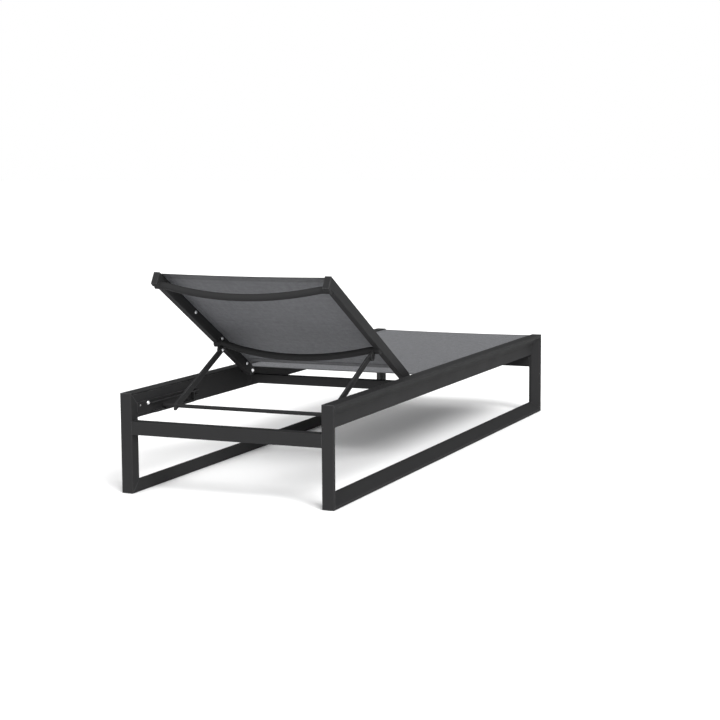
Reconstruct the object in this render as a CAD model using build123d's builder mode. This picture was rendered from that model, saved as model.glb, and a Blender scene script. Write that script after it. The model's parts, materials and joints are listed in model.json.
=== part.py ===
from build123d import *
import os
from math import atan, cos, degrees, radians, sin

# A reclining sun lounger. X runs across it with the lying person's left at +X,
# Y runs along it with the head end at +Y, and Z is up from the ground.
# Paired pieces are drawn once on the left and mirrored to the right.

# Overall size
length = 2000
width = 700
height = 305
glide_thickness = 1.5

# Side frame tube
bar = 38
flat = 10
wall = 2
edge_radius = 1.5
rail_depth = 77
half_length = length / 2
inner_face = width / 2 - bar
leg_face = half_length - bar

# Keder groove, the round channel that grips the edge of a sling
groove_radius = 2.6
groove_wall = 1.8
groove_inset = groove_radius + groove_wall
groove_slot = 2.4
keder_radius = 2.3
sling_thickness = 1.6
sling_gap = 0.3
groove_height = height - groove_inset

# Crossbars
end_bar_height = 40
end_bar_underside = 180
middle_bar = 30
middle_bar_top = 267
middle_bar_face = 215

# Seat sling
seat_foot_edge = -998
seat_head_edge = 255

# Backrest, in a plane that turns with it: "along" runs from the hinge to the top
# and "front" is towards the person
hinge_y = 278
hinge_z = 289
rest_angle = 30.3
lowest_angle = 0
highest_angle = 62
back_rail_width = 20
back_rail_depth = 34
back_rail_inner = 273.5
back_rail_outer = back_rail_inner + back_rail_width
back_rail_start = 8
back_rail_end = 709
cap_thickness = 4
cap_heel_front = -22.7
cap_heel_slope = 2.3
knuckle_radius = 14
plug_length = 26
back_front = back_rail_depth / 2
groove_front = back_front - groove_inset
back_sling_start = 40
back_sling_end = 695
clamp_screw_places = (50, 250, 450, 650)
clamp_screw_front = 4.5

# Bowed bars behind the backrest
bow_radius = 11
bow_wall = 1.5
bow_straight = 22
bow_end_gap = 0.3
bend_radius = 80
upper_bow_along = 683
upper_bow_depth = 32
lower_bow_along = 256
lower_bow_depth = 36
bow_end_front = -16
saddle_radius = bow_radius + 0.1
bow_plug_thickness = 1.5

# Prop that holds the backrest up
prop_along = 257
prop_front = -38
strut_length = 330.3
strut_angle = 25.1
strut_x = 260
strut_thickness = 6
strut_low = 9
strut_high = 11
strut_head_radius = 9
strut_swell = (14, 30)
strut_nose = 17
nose_depth = 11
lug_radius = 14
lug_thickness = 7
lug_gap = 0.4
pin_radius = 3.5
prop_nut_radius = 5.5
prop_nut_length = 4
prop_nut_cap = 1
rod_radius = 6
rod_end_gap = 2

# Racks on the side rails
rack_start = 604
rack_end = 895
tooth_bar_end = 880
rack_plate_end = 968
plate_thickness = 3
rack_plate_low = 238
rack_plate_high = 274
rack_depth = 12
guard_low = 263
guard_high = 266
tooth_bar_low = 231
tooth_gap = 0.6
tooth_depth = 3
notch_radius = 7
notch_angles = (lowest_angle, 22, rest_angle, 46, highest_angle)
prop_per_degree = 0.79
rack_stop_gap = 1.5

# Fasteners and hinge
hinge_bolt_radius = 4
running_gap = 0.05
bush_radius = 5.5
hinge_nut_radius = 6.5
hinge_nut_length = 9
spacer_radius = 9
spacer_clearance = 0.3
screw_radius = 2.5
screw_length = 9
dome_radius = 5.5
dome_height = 2.6
socket_radius = 1.9
socket_depth = 1.4
washer_radius = 6.5
washer_thickness = 1
thread_clearance = 0.1
glide_radius = 13
glide_places = (-900, 0, 900)

os.makedirs("parts", exist_ok=True)


def write(piece, name):
    piece.part.label = name
    export_step(piece.part, f"parts/{name}.step")


def write_pair(piece, name):
    write(piece, f"{name}_left")
    with BuildPart() as other_hand:
        mirror(piece.part, about=Plane.YZ)
    write(other_hand, f"{name}_right")


# ---------------------------------------------------------------- side frames


def frame_section(depth):
    """Hollow frame tube: first axis outwards, second axis into the loop."""
    with BuildSketch() as section:
        with BuildLine():
            Polyline(
                (0, 0), (bar, 0), (bar, flat), (flat, bar), (flat, depth), (0, depth), close=True
            )
        make_face()
        fillet(section.vertices(), radius=edge_radius)
        offset(amount=-wall, kind=Kind.INTERSECTION, mode=Mode.SUBTRACT)
    return section.sketch


def square_section():
    """The same tube without a web, for the legs and the runner."""
    with BuildSketch() as section:
        with BuildLine():
            Polyline((0, 0), (bar, 0), (bar, flat), (flat, bar), (0, bar), close=True)
        make_face()
        fillet(section.vertices(), radius=edge_radius)
        offset(amount=-wall, kind=Kind.INTERSECTION, mode=Mode.SUBTRACT)
    return section.sketch


# Mitre planes at the four corners of a side frame, each facing its leg
base = glide_thickness
head_base = Plane(origin=(0, half_length, base), z_dir=(0, 1, 1))
head_top = Plane(origin=(0, half_length, height), z_dir=(0, 1, -1))
foot_base = Plane(origin=(0, -half_length, base), z_dir=(0, -1, 1))
foot_top = Plane(origin=(0, -half_length, height), z_dir=(0, -1, -1))

head_leg_plane = Plane(origin=(inner_face, half_length, height), x_dir=(1, 0, 0), z_dir=(0, 0, -1))
with BuildPart() as head_leg:
    with BuildSketch(head_leg_plane):
        add(square_section())
    extrude(amount=height - base)
    split(bisect_by=head_base, keep=Keep.TOP)
    split(bisect_by=head_top, keep=Keep.TOP)
write_pair(head_leg, "head_leg")

foot_leg_plane = Plane(origin=(inner_face, -half_length, base), x_dir=(1, 0, 0), z_dir=(0, 0, 1))
with BuildPart() as foot_leg:
    with BuildSketch(foot_leg_plane):
        add(square_section())
    extrude(amount=height - base)
    split(bisect_by=foot_base, keep=Keep.TOP)
    split(bisect_by=foot_top, keep=Keep.TOP)
write_pair(foot_leg, "foot_leg")

runner_plane = Plane(origin=(inner_face, half_length, base), x_dir=(1, 0, 0), z_dir=(0, -1, 0))
with BuildPart() as runner:
    with BuildSketch(runner_plane):
        add(square_section())
    extrude(amount=length)
    split(bisect_by=head_base, keep=Keep.BOTTOM)
    split(bisect_by=foot_base, keep=Keep.BOTTOM)
write_pair(runner, "runner")

rack_bolt = (906, 265)
rack_rivets = ((700, 253), (951, 263))

rail_plane = Plane(origin=(inner_face, -half_length, height), x_dir=(1, 0, 0), z_dir=(0, 1, 0))
with BuildPart() as side_rail:
    with BuildSketch(rail_plane):
        add(frame_section(rail_depth))
        with Locations((groove_inset, groove_inset)):
            Circle(groove_inset)
            Circle(groove_radius, mode=Mode.SUBTRACT)
        with Locations((groove_inset / 2, groove_inset)):
            Rectangle(groove_inset, groove_slot, mode=Mode.SUBTRACT)
    extrude(amount=length)
    # the head of the rail is mitred and its web stops square against each leg
    for end in (1, -1):
        with BuildSketch(Plane.YZ):
            with BuildLine():
                Polyline(
                    (end * leg_face, 0),
                    (end * leg_face, height - bar),
                    (end * (half_length + bar), height + bar),
                    (end * (half_length + bar), 0),
                    close=True,
                )
            make_face()
        extrude(amount=width, both=True, mode=Mode.SUBTRACT)
    # holes for the rack's fasteners and for the hinge's threaded insert
    hole_depth = 2 * wall
    with BuildSketch(Plane.YZ.offset(inner_face)):
        with Locations(rack_bolt, *rack_rivets):
            Circle(screw_radius + thread_clearance)
        with Locations((hinge_y, hinge_z)):
            Circle(hinge_bolt_radius + thread_clearance)
    extrude(amount=hole_depth, mode=Mode.SUBTRACT)
write_pair(side_rail, "side_rail")

with BuildPart() as seat_keder:
    with BuildSketch(Plane.XZ.offset(leg_face)):
        with Locations((inner_face + groove_inset, groove_height)):
            Circle(keder_radius)
    extrude(amount=-(leg_face + seat_head_edge))
write_pair(seat_keder, "seat_keder")

with BuildPart() as glides:
    with Locations((inner_face + bar / 2, 0, 0), (-inner_face - bar / 2, 0, 0)):
        for place in glide_places:
            with Locations((0, place, glide_thickness / 2)):
                Cylinder(glide_radius, glide_thickness)
write(glides, "floor_glides")

# ------------------------------------------------------------------ crossbars


def crossbar(face_y, underside, depth, tall, name):
    """A tube between the side frames, its head-side face at face_y."""
    with BuildPart() as tube:
        with BuildSketch(Plane.YZ.offset(-inner_face)) as section:
            with Locations((face_y - depth / 2, underside + tall / 2)):
                Rectangle(depth, tall)
            fillet(section.vertices(), radius=edge_radius)
            offset(amount=-wall, kind=Kind.INTERSECTION, mode=Mode.SUBTRACT)
        extrude(amount=2 * inner_face)
    write(tube, name)


crossbar(half_length, end_bar_underside, bar, end_bar_height, "head_crossbar")
crossbar(-leg_face, end_bar_underside, bar, end_bar_height, "foot_crossbar")
middle_underside = middle_bar_top - middle_bar
crossbar(middle_bar_face, middle_underside, middle_bar, middle_bar, "middle_crossbar")

# ----------------------------------------------------------------- seat sling

with BuildPart() as seat_sling:
    with Locations((0, (seat_foot_edge + seat_head_edge) / 2, groove_height)):
        Box(2 * (inner_face - sling_gap), seat_head_edge - seat_foot_edge, sling_thickness)
write(seat_sling, "seat_sling")

# --------------------------------------------------------- backrest's geometry

rest = radians(rest_angle)
up_rail = (0, cos(rest), sin(rest))


def back_plane(x):
    """Side view of the backrest at x: first axis along it, second to its front."""
    return Plane(origin=(x, hinge_y, hinge_z), x_dir=up_rail, z_dir=(1, 0, 0))


def back_section_plane(along):
    """Cross-section of the backrest: first axis is X, second to its front."""
    origin = (0, hinge_y + along * cos(rest), hinge_z + along * sin(rest))
    return Plane(origin=origin, x_dir=(1, 0, 0), z_dir=(0, -cos(rest), -sin(rest)))


rail_middle = back_rail_inner + back_rail_width / 2

# ------------------------------------------------------------- backrest rails

rail_cut = back_rail_end - cap_thickness
with BuildPart() as back_rail:
    with BuildSketch(back_section_plane(rail_cut)) as section:
        with Locations((rail_middle, 0)):
            Rectangle(back_rail_width, back_rail_depth)
        fillet(section.vertices(), radius=edge_radius)
        offset(amount=-wall, kind=Kind.INTERSECTION, mode=Mode.SUBTRACT)
        with Locations((back_rail_inner + groove_inset, groove_front)):
            Circle(groove_inset)
            Circle(groove_radius, mode=Mode.SUBTRACT)
        with Locations((back_rail_inner + groove_inset, back_front - groove_inset / 2)):
            Rectangle(groove_slot, groove_inset, mode=Mode.SUBTRACT)
    extrude(amount=rail_cut - back_rail_start)
    # saddles for the bowed bars, and holes for the screws that lock the sling
    with BuildSketch(back_plane(back_rail_inner)):
        with Locations((upper_bow_along, bow_end_front), (lower_bow_along, bow_end_front)):
            Circle(saddle_radius)
    extrude(amount=back_rail_width - wall, mode=Mode.SUBTRACT)
    with BuildSketch(back_plane(back_rail_inner)):
        for place in clamp_screw_places:
            with Locations((place, clamp_screw_front)):
                Circle(screw_radius + thread_clearance)
    extrude(amount=2 * wall, mode=Mode.SUBTRACT)
write_pair(back_rail, "back_rail")

# The end cap closes the rail and reaches back over the end of the upper bowed bar
heel_start = upper_bow_along + bow_radius + 0.3
with BuildPart() as back_rail_cap:
    with BuildSketch(back_plane(back_rail_inner)):
        with BuildLine():
            Polyline(
                (rail_cut, back_front),
                (back_rail_end, back_front),
                (back_rail_end, cap_heel_front),
                (heel_start, cap_heel_front - cap_heel_slope),
                (heel_start, -back_front),
                (rail_cut, -back_front),
                close=True,
            )
        make_face()
    extrude(amount=back_rail_width)
    fillet(back_rail_cap.edges().filter_by(Axis.X).sort_by(Axis.Z)[-1], radius=edge_radius)
write_pair(back_rail_cap, "back_rail_cap")

# Solid knuckle at the foot of each rail: a round eye on a plug inside the tube
plug_side = wall + 0.2
plug_low = -back_front + plug_side
plug_high = groove_front - groove_inset - 0.2
with BuildPart() as hinge_knuckle:
    with BuildSketch(back_plane(back_rail_inner)):
        Circle(knuckle_radius)
        with Locations((back_rail_start / 2, 0)):
            Rectangle(back_rail_start, 2 * knuckle_radius)
        with Locations((back_rail_start + knuckle_radius, 0)):
            Rectangle(2 * knuckle_radius, 3 * knuckle_radius, mode=Mode.SUBTRACT)
    extrude(amount=back_rail_width)
    with BuildSketch(back_plane(back_rail_inner + plug_side)):
        with Locations((back_rail_start + plug_length / 2, (plug_low + plug_high) / 2)):
            Rectangle(plug_length, plug_high - plug_low)
    extrude(amount=back_rail_width - 2 * plug_side)
    with BuildSketch(back_plane(back_rail_inner)):
        Circle(bush_radius)
    extrude(amount=back_rail_width, mode=Mode.SUBTRACT)
write_pair(hinge_knuckle, "hinge_knuckle")

with BuildPart() as hinge_bush:
    with BuildSketch(back_plane(back_rail_inner)):
        Circle(bush_radius)
        Circle(hinge_bolt_radius + running_gap, mode=Mode.SUBTRACT)
    extrude(amount=back_rail_width)
write_pair(hinge_bush, "hinge_bush")

# --------------------------------------------------------------- hinge pieces

bolt_head_x = back_rail_inner - spacer_clearance
nut_start = inner_face + wall
nut_end = nut_start + hinge_nut_length


def domed_heads(plane, places, radius, high):
    """Domed socket heads that stand on a plane and rise towards the lounger's middle."""
    with BuildPart() as heads:
        with BuildSketch(plane):
            with Locations(*places):
                Circle(radius)
        extrude(amount=-high, taper=25)
        fillet(heads.edges().group_by(Axis.X)[0], radius=0.8)
        with BuildSketch(plane.offset(-high)):
            with Locations(*places):
                RegularPolygon(socket_radius, 6)
        extrude(amount=socket_depth, mode=Mode.SUBTRACT)
    return heads.part


with BuildPart() as hinge_bolt:
    add(domed_heads(back_plane(bolt_head_x), [(0, 0)], dome_radius + 1, dome_height + 0.6))
    with BuildSketch(back_plane(bolt_head_x)):
        Circle(hinge_bolt_radius)
    extrude(amount=nut_end - bolt_head_x)
write_pair(hinge_bolt, "hinge_bolt")

with BuildPart() as hinge_nut:
    with BuildSketch(back_plane(nut_start)):
        RegularPolygon(hinge_nut_radius, 6)
        Circle(hinge_bolt_radius + running_gap, mode=Mode.SUBTRACT)
    extrude(amount=hinge_nut_length)
write_pair(hinge_nut, "hinge_nut")

spacer_start = back_rail_outer + spacer_clearance
with BuildPart() as hinge_spacer:
    with BuildSketch(back_plane(spacer_start)):
        Circle(spacer_radius)
        Circle(hinge_bolt_radius + running_gap, mode=Mode.SUBTRACT)
    extrude(amount=inner_face - spacer_start)
write_pair(hinge_spacer, "hinge_spacer")

# ---------------------------------------------------------------- bowed bars

# Each bar leaves its saddles straight, bends back at both ends and bows between.
# Its plugged ends stop short of the rails' outer walls.
bow_end_x = back_rail_outer - wall - bow_end_gap - bow_plug_thickness
bow_half_span = bow_end_x - bow_straight


def bowed_bar(along, depth, name):
    plane = back_section_plane(along)
    # each end bend and half of the main arc turn through the same angle
    bow_turn = 2 * atan(depth / bow_half_span)
    main_radius = bow_half_span / sin(bow_turn) - bend_radius
    turn_degrees = degrees(bow_turn)
    with BuildPart() as tube:
        with BuildLine(plane) as path:
            first = Line((-bow_end_x, bow_end_front), (-bow_half_span, bow_end_front))
            dip = JernArc(first @ 1, first % 1, bend_radius, -turn_degrees)
            bow = JernArc(dip @ 1, dip % 1, main_radius, 2 * turn_degrees)
            rise = JernArc(bow @ 1, bow % 1, bend_radius, -turn_degrees)
            Line(rise @ 1, (bow_end_x, bow_end_front))
        with BuildSketch(Plane(origin=path.line @ 0, z_dir=path.line % 0)):
            Circle(bow_radius)
            Circle(bow_radius - bow_wall, mode=Mode.SUBTRACT)
        sweep(path=path.line)
    write(tube, name)


bowed_bar(upper_bow_along, upper_bow_depth, "upper_back_bar")
bowed_bar(lower_bow_along, lower_bow_depth, "lower_back_bar")

with BuildPart() as bow_plugs:
    for along in (upper_bow_along, lower_bow_along):
        for start in (bow_end_x, -bow_end_x - bow_plug_thickness):
            with BuildSketch(back_plane(start)):
                with Locations((along, bow_end_front)):
                    Circle(bow_radius)
            extrude(amount=bow_plug_thickness)
write(bow_plugs, "back_bar_plugs")

# ------------------------------------------------------------- backrest sling

# The sling lies over the rails' fronts, and its edges turn down into the grooves
back_sling_length = back_sling_end - back_sling_start
back_sling_half = back_rail_inner + groove_inset + groove_slot / 2
with BuildPart() as back_sling:
    with BuildSketch(back_section_plane(back_sling_end)):
        with Locations((0, back_front + sling_gap + sling_thickness / 2)):
            Rectangle(2 * back_sling_half, sling_thickness)
    extrude(amount=back_sling_length)
write(back_sling, "back_sling")

with BuildPart() as back_keder:
    with BuildSketch(back_section_plane(back_sling_end)):
        with Locations((back_rail_inner + groove_inset, groove_front)):
            Circle(keder_radius)
    extrude(amount=back_sling_length)
write_pair(back_keder, "back_keder")

with BuildPart() as clamp_washers:
    with BuildSketch(back_plane(back_rail_inner)):
        for place in clamp_screw_places:
            with Locations((place, clamp_screw_front)):
                Circle(washer_radius)
                Circle(screw_radius + thread_clearance, mode=Mode.SUBTRACT)
    extrude(amount=-washer_thickness)
write_pair(clamp_washers, "sling_screw_washers")

with BuildPart() as clamp_screws:
    head_plane = back_plane(back_rail_inner - washer_thickness)
    clamp_points = [(place, clamp_screw_front) for place in clamp_screw_places]
    add(domed_heads(head_plane, clamp_points, dome_radius, dome_height))
    with BuildSketch(head_plane):
        with Locations(*clamp_points):
            Circle(screw_radius)
    extrude(amount=screw_length)
write_pair(clamp_screws, "sling_screws")

# ----------------------------------------------------------------------- prop

prop_y = hinge_y + prop_along * cos(rest) - prop_front * sin(rest)
prop_z = hinge_z + prop_along * sin(rest) + prop_front * cos(rest)
strut_slope = radians(strut_angle)
rod_y = prop_y + strut_length * cos(strut_slope)
rod_z = prop_z - strut_length * sin(strut_slope)
strut_inner = strut_x - strut_thickness / 2
strut_outer = strut_x + strut_thickness / 2
lug_start = strut_outer + lug_gap
pin_head_x = strut_inner - lug_gap
prop_bush_radius = pin_radius + 1.5


def strut_plane(x):
    """Side view of a strut at x: first axis from its pivot towards the rod."""
    down = (0, cos(strut_slope), -sin(strut_slope))
    return Plane(origin=(x, prop_y, prop_z), x_dir=down, z_dir=(1, 0, 0))


# The lug hangs from the lower bowed bar and is shaped to sit on its tube
lug_bar_front = bow_end_front - 0.2
lug_seat_radius = bow_radius + 0.4
lug_top_half = 8
with BuildPart() as prop_lug:
    with BuildSketch(back_plane(lug_start)):
        with BuildLine():
            Polyline(
                (lower_bow_along - lug_top_half, lug_bar_front),
                (lower_bow_along + lug_top_half, lug_bar_front),
                (prop_along + lug_radius, prop_front),
                (prop_along - lug_radius, prop_front),
                close=True,
            )
        make_face()
        with Locations((prop_along, prop_front)):
            Circle(lug_radius)
            Circle(pin_radius + running_gap, mode=Mode.SUBTRACT)
    extrude(amount=lug_thickness)
    with BuildSketch(back_plane(lug_start)):
        with Locations((lower_bow_along, lug_bar_front)):
            Circle(lug_seat_radius)
    extrude(amount=lug_thickness, mode=Mode.SUBTRACT)
write_pair(prop_lug, "prop_lug")

pin_end_x = lug_start + lug_thickness
nut_bore_depth = prop_nut_length - prop_nut_cap
with BuildPart() as prop_pin:
    add(domed_heads(strut_plane(pin_head_x), [(0, 0)], dome_radius, dome_height))
    with BuildSketch(strut_plane(pin_head_x)):
        Circle(pin_radius)
    extrude(amount=pin_end_x + nut_bore_depth - running_gap - pin_head_x)
write_pair(prop_pin, "prop_pin")

with BuildPart() as prop_nut:
    with BuildSketch(strut_plane(pin_end_x)):
        RegularPolygon(prop_nut_radius, 6)
    extrude(amount=prop_nut_length)
    with BuildSketch(strut_plane(pin_end_x)):
        Circle(pin_radius + running_gap)
    extrude(amount=nut_bore_depth, mode=Mode.SUBTRACT)
write_pair(prop_nut, "prop_pin_nut")

with BuildPart() as prop_strut:
    with BuildSketch(strut_plane(strut_inner)):
        with BuildLine():
            Polyline(
                (0, -strut_low),
                (strut_length, -strut_low),
                (strut_length, strut_high),
                (strut_swell[1], strut_high),
                (strut_swell[0], strut_head_radius),
                (0, strut_head_radius),
                close=True,
            )
        make_face()
        Circle(strut_head_radius)
        with Locations((strut_length, (strut_high - strut_low) / 2)):
            Circle((strut_high + strut_low) / 2)
        with Locations((strut_length, nose_depth / 2 - strut_low)):
            SlotOverall(2 * strut_nose, nose_depth)
        Circle(prop_bush_radius, mode=Mode.SUBTRACT)
        with Locations((strut_length, 0)):
            Circle(rod_radius, mode=Mode.SUBTRACT)
    extrude(amount=strut_thickness)
write_pair(prop_strut, "prop_strut")

with BuildPart() as prop_bush:
    with BuildSketch(strut_plane(strut_inner)):
        Circle(prop_bush_radius)
        Circle(pin_radius + running_gap, mode=Mode.SUBTRACT)
    extrude(amount=strut_thickness)
write_pair(prop_bush, "prop_bush")

rod_half = inner_face - plate_thickness - rod_end_gap
with BuildPart() as prop_rod:
    with BuildSketch(Plane.YZ.offset(-rod_half)):
        with Locations((rod_y, rod_z)):
            Circle(rod_radius)
    extrude(amount=2 * rod_half)
    chamfer(prop_rod.edges().filter_by(GeomType.CIRCLE), length=1)
write(prop_rod, "prop_rod")

# ---------------------------------------------------------------------- racks


def rod_place(angle):
    """Centre of the rod, as (y, z), with the backrest raised to an angle."""
    back = radians(angle)
    slope = radians(strut_angle + prop_per_degree * (angle - rest_angle))
    pivot_y = hinge_y + prop_along * cos(back) - prop_front * sin(back)
    pivot_z = hinge_z + prop_along * sin(back) + prop_front * cos(back)
    return (pivot_y + strut_length * cos(slope), pivot_z - strut_length * sin(slope))


plate_x = inner_face - plate_thickness
rack_x = inner_face - rack_depth
tooth_crest = min(rod_place(angle)[1] for angle in range(highest_angle + 1))
tooth_crest = tooth_crest - rod_radius - tooth_gap
stop_face = rod_place(highest_angle)[0] - rod_radius - rack_stop_gap

with BuildPart() as rack_plate:
    with BuildSketch(Plane.YZ.offset(plate_x)) as outline:
        with Locations(((rack_start + rack_plate_end) / 2, (rack_plate_low + rack_plate_high) / 2)):
            Rectangle(rack_plate_end - rack_start, rack_plate_high - rack_plate_low)
        fillet(outline.vertices(), radius=5)
        with Locations(rack_bolt, *rack_rivets):
            Circle(screw_radius + thread_clearance, mode=Mode.SUBTRACT)
    extrude(amount=plate_thickness)
write_pair(rack_plate, "rack_plate")

rack_middle_x = (rack_x + plate_x) / 2
rack_reach = plate_x - rack_x
with BuildPart() as rack_guard:
    with Locations((rack_middle_x, (rack_start + rack_end) / 2, (guard_low + guard_high) / 2)):
        Box(rack_reach, rack_end - rack_start, guard_high - guard_low)
    fillet(rack_guard.edges().filter_by(Axis.Z), radius=1)
write_pair(rack_guard, "rack_guard")

with BuildPart() as rack_teeth:
    with BuildSketch(Plane.YZ.offset(rack_x)) as outline:
        with Locations(((stop_face + tooth_bar_end) / 2, (tooth_bar_low + tooth_crest) / 2)):
            Rectangle(tooth_bar_end - stop_face, tooth_crest - tooth_bar_low)
        for angle in notch_angles:
            with Locations((rod_place(angle)[0], tooth_crest - tooth_depth + notch_radius)):
                Circle(notch_radius, mode=Mode.SUBTRACT)
    extrude(amount=rack_reach)
write_pair(rack_teeth, "rack_teeth")

# The end stop is a T on its side: a wall across the rack and a brace behind it
stop_thickness = 4
stop_back = stop_face - stop_thickness
brace_length = 28
brace_height = 251
with BuildPart() as rack_stop:
    with Locations((rack_middle_x, stop_face - stop_thickness / 2, (tooth_bar_low + guard_low) / 2)):
        Box(rack_reach, stop_thickness, guard_low - tooth_bar_low)
    with Locations((rack_middle_x, stop_back - brace_length / 2, brace_height)):
        Box(rack_reach, brace_length, plate_thickness)
write_pair(rack_stop, "rack_stop")

with BuildPart() as rack_fasteners:
    head_plane = Plane.YZ.offset(plate_x)
    add(domed_heads(head_plane, [rack_bolt], dome_radius + 1, dome_height))
    with BuildSketch(head_plane):
        with Locations(rack_bolt, *rack_rivets):
            Circle(screw_radius)
    extrude(amount=screw_length)
write_pair(rack_fasteners, "rack_fasteners")
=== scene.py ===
import json
import math

import bmesh
import bpy
from mathutils import Matrix, Vector


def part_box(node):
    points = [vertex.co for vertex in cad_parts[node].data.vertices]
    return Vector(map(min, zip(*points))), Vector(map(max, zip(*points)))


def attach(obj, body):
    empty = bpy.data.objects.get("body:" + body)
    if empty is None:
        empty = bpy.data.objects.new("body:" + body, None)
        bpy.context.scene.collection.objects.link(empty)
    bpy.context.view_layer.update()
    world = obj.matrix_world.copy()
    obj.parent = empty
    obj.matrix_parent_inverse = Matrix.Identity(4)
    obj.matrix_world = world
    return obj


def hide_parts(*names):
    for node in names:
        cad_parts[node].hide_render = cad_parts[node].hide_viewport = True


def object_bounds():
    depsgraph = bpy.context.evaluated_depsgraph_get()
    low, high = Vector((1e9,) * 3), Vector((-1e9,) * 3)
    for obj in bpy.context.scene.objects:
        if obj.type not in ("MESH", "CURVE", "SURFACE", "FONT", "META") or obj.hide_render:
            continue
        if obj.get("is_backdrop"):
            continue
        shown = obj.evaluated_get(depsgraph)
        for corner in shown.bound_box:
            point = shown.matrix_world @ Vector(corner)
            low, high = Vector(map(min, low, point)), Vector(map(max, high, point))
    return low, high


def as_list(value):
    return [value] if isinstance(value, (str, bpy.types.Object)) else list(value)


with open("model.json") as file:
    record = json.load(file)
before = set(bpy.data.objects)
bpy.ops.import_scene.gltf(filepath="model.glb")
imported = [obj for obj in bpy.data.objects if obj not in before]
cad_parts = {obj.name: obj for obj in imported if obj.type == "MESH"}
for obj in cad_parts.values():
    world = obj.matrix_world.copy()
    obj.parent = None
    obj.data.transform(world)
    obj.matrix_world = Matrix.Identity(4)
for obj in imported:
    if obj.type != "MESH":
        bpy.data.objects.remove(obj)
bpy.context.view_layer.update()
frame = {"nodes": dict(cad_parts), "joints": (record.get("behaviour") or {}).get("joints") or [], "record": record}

# A reclining sun lounger around its CAD frame: woven slings with hems and stitching,
# weld beads, a material for every part, a pale studio and a camera.

scene = bpy.context.scene
nodes = frame["nodes"]

# ------------------------------------------------------------------ dimensions
# Metres. X across, +Y to the head end, +Z up, as in the CAD model.

REST_ANGLE = math.radians(30.3)
hinge = Vector(frame["joints"][0]["pos_m"])

frame_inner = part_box("side_rail_left")[0].x
back_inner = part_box("back_rail_left")[0].x
seat_low, seat_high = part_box("seat_sling")
seat_level = (seat_low.z + seat_high.z) / 2

# Sling cloth and its mesh
CLOTH = 0.0011
SLING_CELL = 0.0125
YARN_PITCH = 0.00125
LAP_GAP = 0.00002

# How the cloth sags between the rails, and how its free ends curve in
SLING_SAG = 0.0030
SEAT_DIP = 0.004
BACK_DIP = 0.003
END_REACH = 0.10
END_HOLD = 0.45

# End hems, side pockets and their seams
HEM = 0.026
HEM_INSET = 0.0035
HEM_START = 0.0008
FOLD_INSET = 0.0006
FOLD_RADIUS = CLOTH * 1.05
POCKET = 0.013
POCKET_THICKNESS = CLOTH * 0.9
SEAM_INSETS = (0.006, HEM - 0.004)
SEAM_MARGIN = 0.004
POCKET_SEAM_INSET = 0.003
HEM_STITCH = 0.0036
POCKET_STITCH = 0.0042

# Where the slings meet their rails; the back sling is placed from the hinge
SEAT_TUCK = 0.0022
BACK_START = 0.040
BACK_END = 0.695
BACK_SLING_FRONT = 0.0181
BACK_SLOT = back_inner + 0.0044
EDGE_BEND = 0.0012
BACK_TUCK = 0.006

# Welds, and the bowed bars of the backrest that two pairs of them hold
CROSSBAR_WELD = 0.0013
CROSSBAR_WELD_INSET = 0.0004
BACK_BAR_WELD = 0.0011
BACK_WELD_INSET = 0.0003
BACK_WELD_LIFT = 0.0004
BACK_WELD_RIPPLE = 0.0022
BOW_RADIUS = 0.011
BOW_END_FRONT = -0.016
UPPER_BOW = 0.683
LOWER_BOW = 0.256

along_dir = Vector((0, math.cos(REST_ANGLE), math.sin(REST_ANGLE)))
front_dir = Vector((0, -math.sin(REST_ANGLE), math.cos(REST_ANGLE)))


def on_back(x, along, front):
    """A point of the backrest: across, up its rails from the hinge, to its front."""
    return Vector((x, hinge.y, hinge.z)) + along * along_dir + front * front_dir


def on_seat(x, along, up):
    """A point of the seat: across, along the lounger, above the sling's level."""
    return Vector((x, along, seat_level + up))


# ------------------------------------------------------------- material helpers


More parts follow.
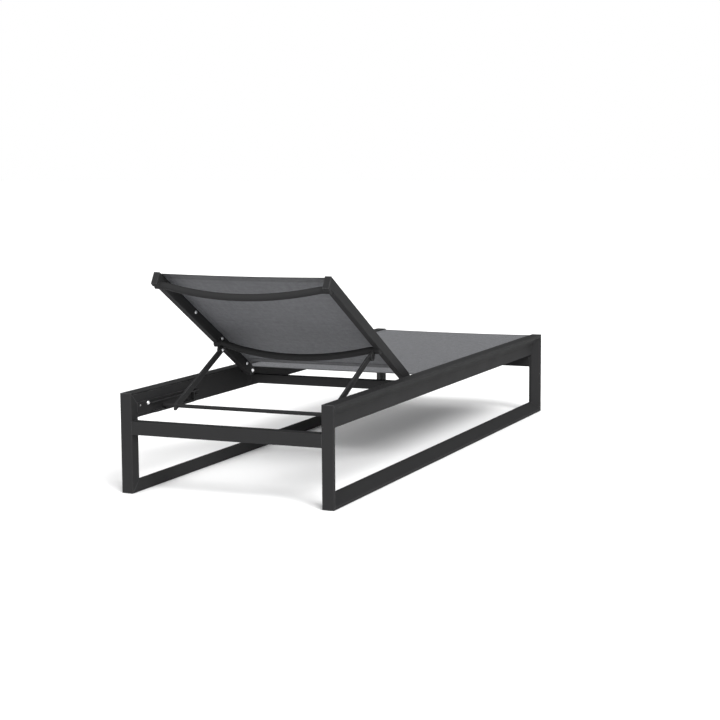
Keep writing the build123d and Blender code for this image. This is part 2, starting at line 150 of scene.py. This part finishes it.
class Graph:
    """Short calls for building one material's nodes."""

    def __init__(self, name):
        self.material = bpy.data.materials.new(name)
        self.material.use_nodes = True
        self.tree = self.material.node_tree
        self.tree.nodes.clear()
        output = self.tree.nodes.new("ShaderNodeOutputMaterial")
        self.shader = self.tree.nodes.new("ShaderNodeBsdfPrincipled")
        self.tree.links.new(self.shader.outputs[0], output.inputs[0])

    def node(self, kind, **settings):
        made = self.tree.nodes.new(kind)
        for key, value in settings.items():
            setattr(made, key, value)
        return made

    def put(self, socket, value):
        if isinstance(value, bpy.types.NodeSocket):
            self.tree.links.new(value, socket)
        else:
            socket.default_value = value

    def math(self, operation, *values):
        made = self.node("ShaderNodeMath", operation=operation)
        for socket, value in zip(made.inputs, values):
            self.put(socket, value)
        return made.outputs[0]

    def place(self):
        return self.node("ShaderNodeTexCoord").outputs["Object"]

    def noise(self, scale, detail=2.0, roughness=0.5, vector=None):
        made = self.node("ShaderNodeTexNoise")
        self.put(made.inputs["Vector"], vector or self.place())
        self.put(made.inputs["Scale"], scale)
        self.put(made.inputs["Detail"], detail)
        self.put(made.inputs["Roughness"], roughness)
        return made.outputs["Fac"]

    def spread(self, value, low, high, start=0.0, end=1.0):
        """value from start..end carried to low..high."""
        made = self.node("ShaderNodeMapRange")
        for socket, number in zip(made.inputs, (value, start, end, low, high)):
            self.put(socket, number)
        return made.outputs["Result"]

    def mix(self, share, first, second, blend="MIX"):
        made = self.node("ShaderNodeMix", data_type="RGBA", blend_type=blend)
        self.put(made.inputs["Factor"], share)
        for name, colour in (("A", first), ("B", second)):
            socket = [s for s in made.inputs if s.name == name and s.type == "RGBA"][0]
            self.put(socket, colour)
        return [s for s in made.outputs if s.type == "RGBA"][0]

    def bump(self, height, distance, strength):
        made = self.node("ShaderNodeBump")
        self.put(made.inputs["Height"], height)
        self.put(made.inputs["Distance"], distance)
        self.put(made.inputs["Strength"], strength)
        return made.outputs["Normal"]

    def edges(self, radius):
        """1 on an outer edge, 0 on a flat; places edge rubbing and a painted highlight."""
        bevel = self.node("ShaderNodeBevel", samples=8)
        self.put(bevel.inputs["Radius"], radius)
        flat = self.node("ShaderNodeNewGeometry").outputs["Normal"]
        compare = self.node("ShaderNodeVectorMath", operation="DOT_PRODUCT")
        self.put(compare.inputs[0], bevel.outputs["Normal"])
        self.put(compare.inputs[1], flat)
        return self.spread(compare.outputs["Value"], 0.0, 1.0, 0.985, 0.88)

    def set(self, **values):
        for key, value in values.items():
            self.put(self.shader.inputs[key.replace("_", " ")], value)
        return self.material


def grey(value, blue=1.03):
    """A grey with its blue raised a little."""
    return (value, value, value * blue, 1.0)


def cool(value):
    """A grey that leans to blue, for the cloth."""
    return (value * 0.97, value, value * 1.10, 1.0)


# ------------------------------------------------------------------- materials


def powder_coat(name, base, roughness):
    """Fine-textured polyester powder coat, rubbed a little glossier along its edges, where a highlight is also
    painted lighter into the colour.
    """
    g = Graph(name)
    speckle = g.noise(2600, 1.0)
    cloud = g.noise(5.0, 3.0)
    peel = g.noise(620, 2.0, 0.55)
    grain = g.math("MULTIPLY_ADD", speckle, 0.5, g.math("MULTIPLY", cloud, 0.5))
    tone = g.spread(grain, 0.0, 1.0, 0.3, 0.7)
    colour = g.mix(tone, grey(base * 0.96), grey(base * 1.04))
    patches = g.spread(g.noise(38, 4.0), 0.25, 1.0, 0.36, 0.60)
    # Edge mask in random patches, partly real rubbed coat and partly painted highlight: the edges are painted
    # nearly four times lighter than the coat.
    wear_and_highlight = g.math("MULTIPLY", g.edges(0.0034), patches)
    worn_and_highlit = g.mix(g.math("MULTIPLY", wear_and_highlight, 0.80), colour, grey(base * 3.8))
    dust = g.spread(g.noise(5, 4.0, 0.6), 0.0, 0.03, 0.50, 0.85)
    colour = g.mix(dust, worn_and_highlit, grey(base * 3.0, 0.97))
    rough = g.spread(g.noise(7, 3.0), roughness - 0.03, roughness + 0.03, 0.3, 0.7)
    rough = g.math("SUBTRACT", rough, g.math("MULTIPLY", wear_and_highlight, 0.12))
    height = g.math("MULTIPLY_ADD", speckle, 0.25, peel)
    return g.set(
        Base_Color=colour,
        Roughness=rough,
        Normal=g.bump(height, 0.00004, 0.25),
        Specular_IOR_Level=0.12,
    )


def woven(name, warp, weft, gap_shade):
    """Outdoor sling cloth: PVC-coated yarns in plain weave, from a UV map in metres, with painted shade where the
    yarns dip between crossings.
    """
    g = Graph(name)
    place = g.node("ShaderNodeUVMap", uv_map="cloth").outputs["UV"]
    wobble = g.noise(140, 2.0, vector=place)
    parts = g.node("ShaderNodeSeparateXYZ")
    g.put(parts.inputs[0], place)
    counts = [g.math("DIVIDE", part, YARN_PITCH) for part in parts.outputs[:2]]
    across, down = [g.math("MULTIPLY_ADD", wobble, 0.22, count) for count in counts]
    arch = []
    for value in (across, down):
        turn = g.math("MULTIPLY", g.math("FRACT", value), math.pi)
        arch.append(g.math("POWER", g.math("ABSOLUTE", g.math("SINE", turn)), 0.55))
    first, second = g.math("FLOOR", across), g.math("FLOOR", down)
    over = g.math("FLOORED_MODULO", g.math("ADD", first, second), 2.0)
    warp_top = g.math("MULTIPLY", arch[0], g.math("MULTIPLY_ADD", arch[1], 0.62, 0.38))
    weft_top = g.math("MULTIPLY", arch[1], g.math("MULTIPLY_ADD", arch[0], 0.62, 0.38))
    under = g.math("SUBTRACT", 1.0, over)
    height = g.math(
        "ADD", g.math("MULTIPLY", warp_top, over), g.math("MULTIPLY", weft_top, under)
    )
    shades = []
    for count, colour in ((first, warp), (second, weft)):
        pick = g.node("ShaderNodeTexWhiteNoise", noise_dimensions="1D")
        g.put(pick.inputs["W"], count)
        shade = g.spread(pick.outputs["Value"], 0.80, 1.20)
        tint = g.node("ShaderNodeCombineColor")
        for socket, part in zip(tint.inputs, colour[:3]):
            g.put(socket, g.math("MULTIPLY", shade, part))
        shades.append(tint.outputs[0])
    yarn = g.mix(over, shades[1], shades[0])
    # Painted shade: the cloth turns to the dark gap colour where the yarns dip low between crossings.
    dip_shade = g.spread(height, 0.0, 1.0, 0.15, 0.75)
    colour = g.mix(dip_shade, gap_shade, yarn)
    cloud = g.spread(g.noise(9, 4.0, vector=place), 0.96, 1.04, 0.3, 0.7)
    soil = g.node("ShaderNodeCombineColor")
    for socket in soil.inputs:
        g.put(socket, cloud)
    colour = g.mix(1.0, colour, soil.outputs[0], "MULTIPLY")
    rough = g.spread(g.noise(60, 2.0, vector=place), 0.46, 0.60, 0.3, 0.7)
    return g.set(
        Base_Color=colour,
        Roughness=rough,
        Normal=g.bump(height, 0.00020, 0.7),
        Specular_IOR_Level=0.42,
        Sheen_Weight=0.08,
        Sheen_Roughness=0.5,
    )


def stainless(name, base, roughness):
    """Stainless steel with fine scratches and faint water marks."""
    g = Graph(name)
    scratch = g.noise(5200, 3.0, 0.65)
    marks = g.noise(420, 3.0, 0.6)
    stain = g.spread(marks, 0.0, 1.0, 0.35, 0.7)
    colour = g.mix(stain, grey(base * 0.82, 1.02), grey(base, 1.01))
    grain = g.math("MULTIPLY_ADD", marks, 0.6, g.math("MULTIPLY", scratch, 0.4))
    rough = g.spread(grain, roughness - 0.08, roughness + 0.12, 0.3, 0.7)
    return g.set(
        Base_Color=colour,
        Metallic=1.0,
        Roughness=rough,
        Normal=g.bump(scratch, 0.00001, 0.5),
    )


def moulded(name, base, roughness, grain=1100):
    """Injection-moulded plastic with a fine spark-eroded grain."""
    g = Graph(name)
    fine = g.noise(grain, 3.0, 0.6)
    cloud = g.noise(30, 3.0)
    tone = g.spread(cloud, 0.0, 1.0, 0.3, 0.7)
    colour = g.mix(tone, grey(base * 0.85), grey(base * 1.2))
    rough = g.spread(cloud, roughness - 0.05, roughness + 0.07, 0.3, 0.7)
    return g.set(
        Base_Color=colour,
        Roughness=rough,
        Normal=g.bump(fine, 0.00005, 0.6),
        Specular_IOR_Level=0.18,
    )


def thread(name, base):
    """Twisted bonded polyester sewing thread."""
    g = Graph(name)
    twist = g.node("ShaderNodeTexWave", wave_type="BANDS", bands_direction="DIAGONAL")
    g.put(twist.inputs["Vector"], g.place())
    g.put(twist.inputs["Scale"], 900)
    g.put(twist.inputs["Distortion"], 1.5)
    ply = twist.outputs["Fac"]
    colour = g.mix(ply, grey(base * 0.6), grey(base * 1.3))
    rough = g.spread(ply, 0.62, 0.50)
    return g.set(Base_Color=colour, Roughness=rough, Normal=g.bump(ply, 0.00006, 0.6))


coat = powder_coat("powder_coat", 0.0158, 0.70)
rack_coat = powder_coat("rack_powder_coat", 0.0125, 0.62)
steel = stainless("stainless_steel", 0.96, 0.34)
plastic = moulded("black_plastic", 0.009, 0.60)
rubbery = moulded("keder_vinyl", 0.02, 0.6, 1500)
sling = woven("sling_cloth", cool(0.083), cool(0.117), cool(0.013))
# The end hems are the same cloth painted darker: painted shade for the double layer, which lets less light
# through.
hem_cloth_painted_shade = woven("sling_hem_cloth", cool(0.058), cool(0.083), cool(0.009))
# The hem folds are the same cloth painted far darker: a painted shade line along each fold.
fold_cloth_painted_shade = woven("sling_fold_cloth", cool(0.022), cool(0.031), cool(0.005))
stitch_thread = thread("stitch_thread", 0.055)

by_slot = {
    "coat": coat,
    "rack": rack_coat,
    "steel": steel,
    "black_plastic": plastic,
    "sling": sling,
    "keder": rubbery,
}
for row in frame["record"]["subparts"]:
    part = nodes[row["node"]]
    part.data.materials.clear()
    part.data.materials.append(by_slot[row["material_slot"]])

# ---------------------------------------------------------------- mesh helpers


def make_object(name, bm, material, body, sharp=35):
    """Turns a bmesh into a piece that rides on a body, creased where it is sharp."""
    bmesh.ops.recalc_face_normals(bm, faces=bm.faces)
    limit = math.radians(sharp)
    for face in bm.faces:
        face.smooth = True
    for edge in bm.edges:
        if len(edge.link_faces) == 2 and edge.calc_face_angle() > limit:
            edge.smooth = False
    mesh = bpy.data.meshes.new(name)
    bm.to_mesh(mesh)
    bm.free()
    mesh.materials.append(material)
    made = bpy.data.objects.new(name, mesh)
    scene.collection.objects.link(made)
    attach(made, body)
    return made


def steps(start, end, count):
    """count + 1 evenly spaced numbers."""
    return [start + (end - start) * i / count for i in range(count + 1)]


def slab(bm, surface, across, lengthways, low, high):
    """A closed thin sheet that follows surface(x, along, lift), with cloth UVs."""
    layer = bm.loops.layers.uv.get("cloth") or bm.loops.layers.uv.new("cloth")
    rows, columns = len(lengthways) - 1, len(across) - 1
    uv_of = {}
    sides = []
    for lift in (low, high):
        grid = []
        for along in lengthways:
            line = []
            for x in across:
                vertex = bm.verts.new(surface(x, along, lift))
                uv_of[vertex] = (x + 1.0, along + 2.0)
                line.append(vertex)
            grid.append(line)
        sides.append(grid)
    bottom, top = sides
    faces = []
    for i in range(rows):
        for j in range(columns):
            for grid in (bottom, top):
                faces.append((grid[i][j], grid[i][j + 1], grid[i + 1][j + 1], grid[i + 1][j]))
    for i in range(rows):
        for j in (0, columns):
            faces.append((bottom[i][j], bottom[i + 1][j], top[i + 1][j], top[i][j]))
    for j in range(columns):
        for i in (0, rows):
            faces.append((bottom[i][j], bottom[i][j + 1], top[i][j + 1], top[i][j]))
    for corners in faces:
        face = bm.faces.new(corners)
        for loop in face.loops:
            loop[layer].uv = uv_of[loop.vert]


def tube(bm, points, radii, sides=8, closed=False):
    """A round tube through points, with a radius at each, and capped when it is open."""
    count = len(points)
    rings = []
    for i, point in enumerate(points):
        before = points[i - 1] if closed or i else point
        after = points[(i + 1) % count] if closed or i < count - 1 else point
        ahead = (after - before).normalized()
        side = ahead.orthogonal().normalized()
        if rings:
            side = (last_side - last_side.dot(ahead) * ahead).normalized()
        last_side = side
        other = ahead.cross(side)
        ring = []
        for k in range(sides):
            turn = 2 * math.pi * k / sides
            spoke = math.cos(turn) * side + math.sin(turn) * other
            ring.append(bm.verts.new(point + radii[i] * spoke))
        rings.append(ring)
    for i in range(count if closed else count - 1):
        first, second = rings[i], rings[(i + 1) % count]
        for k in range(sides):
            m = (k + 1) % sides
            bm.faces.new((first[k], first[m], second[m], second[k]))
    if not closed:
        bm.faces.new(rings[0])
        bm.faces.new(rings[-1])


# Each stitch comes up through the cloth, lies on it and goes down again: how far along
# the stitch, how high and how thick, as shares of its pitch, rise and radius
STITCH_SHAPE = ((0.12, -0.5, 0.5), (0.3, 0.7, 1.0), (0.7, 0.7, 1.0), (0.88, -0.5, 0.5))
STITCH_RISE = 0.00022
THREAD_RADIUS = 0.00026


def stitches(bm, surface, x_range, along_range, lift, pitch):
    """A row of lock stitches that lie on one face of a cloth."""
    run = math.hypot(x_range[1] - x_range[0], along_range[1] - along_range[0])
    count = int(run / pitch)
    for i in range(count):
        points, radii = [], []
        for share, rise, thick in STITCH_SHAPE:
            t = (i + share) / count
            x = x_range[0] + (x_range[1] - x_range[0]) * t
            along = along_range[0] + (along_range[1] - along_range[0]) * t
            points.append(surface(x, along, lift + math.copysign(STITCH_RISE, lift) * rise))
            radii.append(THREAD_RADIUS * thick)
        tube(bm, points, radii, sides=5)


def weld_bead(bm, corners, radius, closed=True, pitch=0.0024):
    """A rippled weld bead along a line of corners, four points to each ripple."""
    points = []
    ends = corners[1:] + corners[:1] if closed else corners[1:]
    for start, end in zip(corners, ends):
        cuts = max(1, int((end - start).length / (pitch / 4)))
        points += [start.lerp(end, k / cuts) for k in range(cuts)]
    if not closed:
        points.append(corners[-1])
    ripples = [abs(math.cos(math.pi * i / 4)) for i in range(len(points))]
    radii = [radius * (0.86 + 0.14 * ripple) for ripple in ripples]
    tube(bm, points, radii, sides=8, closed=closed)


# ---------------------------------------------------------------------- slings


def stretched(place, half_width, start, end, sag, dip):
    """A taut sheet held along both sides: it sags a little and its ends curve in."""

    def surface(x, along, lift):
        bow = max(0.0, 1.0 - (x / half_width) ** 2)
        from_start = math.exp(-max(0.0, along - start) / END_REACH)
        from_end = math.exp(-max(0.0, end - along) / END_REACH)
        fall = sag * bow * (1.0 - END_HOLD * from_start - END_HOLD * from_end)
        pull = dip * bow * (from_start - from_end)
        return place(x, along + pull, lift - fall)

    return surface


def build_sling(name, body, surface, edge, tuck, start, end):
    """One sling: its cloth, folded end hems, side pockets and all their stitching.

    The cloth reaches from edge to edge, and then on by tuck into the rails' grooves.
    """
    half = CLOTH / 2
    lengthways = steps(start, end, int((end - start) / SLING_CELL))
    across = steps(-edge, edge, int(2 * edge / SLING_CELL))
    tucked = steps(edge, edge + tuck, 8)[1:]
    bm = bmesh.new()
    whole = [-x for x in reversed(tucked)] + across + tucked
    slab(bm, surface, whole, lengthways, -half, half)
    cloth = make_object(f"{name}_cloth", bm, sling, body)
    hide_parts(name)

    inner = edge - HEM_INSET
    hem_across = steps(-inner, inner, len(across) - 1)
    bm = bmesh.new()
    for place, sign in ((start, 1), (end, -1)):
        folded = steps(place + sign * HEM_START, place + sign * HEM, 6)
        slab(bm, surface, hem_across, folded, -half - CLOTH, -half - LAP_GAP)
    hems = make_object(f"{name}_end_hems", bm, hem_cloth_painted_shade, body)

    bm = bmesh.new()
    for place, sign in ((start, 1), (end, -1)):
        roll = [surface(x, place + sign * FOLD_INSET, -half) for x in hem_across]
        tube(bm, roll, [FOLD_RADIUS] * len(roll), sides=12)
    folds = make_object(f"{name}_hem_folds", bm, fold_cloth_painted_shade, body)

    bm = bmesh.new()
    for sign in (-1, 1):
        pocket = steps(sign * inner, sign * (inner - POCKET), 3)
        between = steps(start + HEM, end - HEM, len(lengthways))
        slab(bm, surface, pocket, between, -half - POCKET_THICKNESS, -half - LAP_GAP)
    pockets = make_object(f"{name}_side_pockets", bm, sling, body)

    bm = bmesh.new()
    below, above = -half - CLOTH, half
    seam_end = inner - SEAM_MARGIN
    for place, sign in ((start, 1), (end, -1)):
        for inset in SEAM_INSETS:
            line = place + sign * inset
            for lift in (below, above):
                stitches(bm, surface, (-seam_end, seam_end), (line, line), lift, HEM_STITCH)
    for sign in (-1, 1):
        line = sign * (inner - POCKET + POCKET_SEAM_INSET)
        for lift in (below, above):
            stitches(bm, surface, (line, line), (start + HEM, end - HEM), lift, POCKET_STITCH)
    seams = make_object(f"{name}_stitching", bm, stitch_thread, body)
    return cloth, [hems, folds, pockets, seams]


seat_surface = stretched(on_seat, frame_inner, seat_low.y, seat_high.y, SLING_SAG, SEAT_DIP)
seat_cloth, seat_extras = build_sling(
    "seat_sling", "frame", seat_surface, frame_inner, SEAT_TUCK, seat_low.y, seat_high.y
)


def back_place(x, along, lift):
    """The back sling lies over its rails, then turns down into the grooves' slots."""
    side = math.copysign(1.0, x)
    turn_start = BACK_SLOT - EDGE_BEND
    over = abs(x) - turn_start
    if over <= 0:
        return on_back(x, along, BACK_SLING_FRONT + lift)
    turn = min(over / EDGE_BEND, math.pi / 2)
    down = over - EDGE_BEND * turn
    reach = EDGE_BEND + lift
    out = turn_start + reach * math.sin(turn)
    front = BACK_SLING_FRONT - EDGE_BEND + reach * math.cos(turn) - down
    return on_back(side * out, along, front)


back_surface = stretched(back_place, back_inner, BACK_START, BACK_END, SLING_SAG, BACK_DIP)
back_edge = BACK_SLOT - EDGE_BEND
back_cloth, back_extras = build_sling(
    "back_sling", "backrest", back_surface, back_edge, BACK_TUCK, BACK_START, BACK_END
)

# ----------------------------------------------------------------- weld beads


def rectangle(x, low_y, high_y, low_z, high_z, corner=0.0022):
    """Corners of a rounded rectangle that faces along X."""
    return [
        Vector((x, low_y + corner, low_z)),
        Vector((x, high_y - corner, low_z)),
        Vector((x, high_y, low_z + corner)),
        Vector((x, high_y, high_z - corner)),
        Vector((x, high_y - corner, high_z)),
        Vector((x, low_y + corner, high_z)),
        Vector((x, low_y, high_z - corner)),
        Vector((x, low_y, low_z + corner)),
    ]


bm = bmesh.new()
for name in ("head_crossbar", "middle_crossbar", "foot_crossbar"):
    low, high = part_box(name)
    for x in (low.x, high.x):
        inset = math.copysign(CROSSBAR_WELD_INSET, -x)
        weld_bead(bm, rectangle(x + inset, low.y, high.y, low.z, high.z), CROSSBAR_WELD)
make_object("crossbar_welds", bm, coat, "frame")

bm = bmesh.new()
for along in (UPPER_BOW, LOWER_BOW):
    for x in (-back_inner, back_inner):
        inset = math.copysign(BACK_WELD_INSET, -x)
        ring = []
        for k in range(25):
            turn = math.pi * k / 24
            reach = BOW_RADIUS + BACK_WELD_LIFT
            front = BOW_END_FRONT + reach * math.sin(turn)
            ring.append(on_back(x + inset, along + reach * math.cos(turn), front))
        weld_bead(bm, ring, BACK_BAR_WELD, closed=False, pitch=BACK_WELD_RIPPLE)
make_object("back_bar_welds", bm, coat, "backrest")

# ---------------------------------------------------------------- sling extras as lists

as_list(seat_extras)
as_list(back_extras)

# --------------------------------------------------------- floor, light, camera


def floor_material():
    """A pale floor with barely any variation."""
    g = Graph("pale_floor")
    tone = g.noise(0.7, 3.0)
    colour = g.mix(tone, (0.91, 0.91, 0.91, 1.0), (0.94, 0.94, 0.94, 1.0))
    return g.set(Base_Color=colour, Roughness=0.9, Specular_IOR_Level=0.1)


FLOOR_REACH = 60

bm = bmesh.new()
bmesh.ops.create_grid(bm, x_segments=2, y_segments=2, size=FLOOR_REACH)
mesh = bpy.data.meshes.new("floor")
bm.to_mesh(mesh)
bm.free()
mesh.materials.append(floor_material())
floor = bpy.data.objects.new("floor", mesh)
scene.collection.objects.link(floor)
floor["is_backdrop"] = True


def studio_world(level, lean):
    """A white backdrop and a dome of light that is brighter on the lean side."""
    world = bpy.data.worlds.new("studio")
    world.use_nodes = True
    tree = world.node_tree
    tree.nodes.clear()
    place = tree.nodes.new("ShaderNodeTexCoord")
    along = tree.nodes.new("ShaderNodeVectorMath")
    along.operation = "DOT_PRODUCT"
    along.inputs[1].default_value = Vector(lean) * level
    tree.links.new(place.outputs["Generated"], along.inputs[0])
    strength = tree.nodes.new("ShaderNodeMath")
    strength.inputs[1].default_value = level
    tree.links.new(along.outputs["Value"], strength.inputs[0])
    dome = tree.nodes.new("ShaderNodeBackground")
    tree.links.new(strength.outputs[0], dome.inputs["Strength"])
    backdrop = tree.nodes.new("ShaderNodeBackground")
    seen = tree.nodes.new("ShaderNodeLightPath")
    both = tree.nodes.new("ShaderNodeMixShader")
    tree.links.new(seen.outputs["Is Camera Ray"], both.inputs[0])
    tree.links.new(dome.outputs[0], both.inputs[1])
    tree.links.new(backdrop.outputs[0], both.inputs[2])
    output = tree.nodes.new("ShaderNodeOutputWorld")
    tree.links.new(both.outputs[0], output.inputs[0])
    for shade in (dome, backdrop):
        shade.inputs["Color"].default_value = (1.0, 1.0, 1.0, 1.0)
    scene.world = world


# The light comes mostly from the head end, and the key light from the right of it
DOME_STRENGTH = 0.97
DOME_LEAN = (-0.05, 0.80, 0.0)
KEY_STRENGTH = 2.9
KEY_SPREAD = math.radians(26)
KEY_DIRECTION = Vector((0.90, -0.85, -1.00))

studio_world(DOME_STRENGTH, DOME_LEAN)
scene.view_settings.view_transform = "Standard"

key = bpy.data.lights.new("key_light", "SUN")
key.energy = KEY_STRENGTH
key.angle = KEY_SPREAD
key_object = bpy.data.objects.new("key_light", key)
key_object.rotation_mode = "QUATERNION"
key_object.rotation_quaternion = KEY_DIRECTION.to_track_quat("-Z", "Y")
scene.collection.objects.link(key_object)

# The camera stands behind the head end, to the right and a little above the backrest
CAMERA_PLACE = (-2.22783, 5.17034, 0.99654)
CAMERA_FORWARD = Vector((0.39241, -0.91165, -0.12212))
CAMERA_RIGHT = Vector((-0.91880, -0.39468, -0.00607))
LENS = 81.86
SENSOR_WIDTH = 36.0

camera_data = bpy.data.cameras.new("camera")
camera_data.lens = LENS
camera_data.sensor_width = SENSOR_WIDTH
camera = bpy.data.objects.new("camera", camera_data)
forward = CAMERA_FORWARD.normalized()
right = (CAMERA_RIGHT - CAMERA_RIGHT.dot(forward) * forward).normalized()
up = right.cross(forward)
turned = Matrix((right, up, -forward)).transposed().to_4x4()
camera.matrix_world = Matrix.Translation(CAMERA_PLACE) @ turned
scene.collection.objects.link(camera)
scene.camera = camera

low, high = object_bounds()
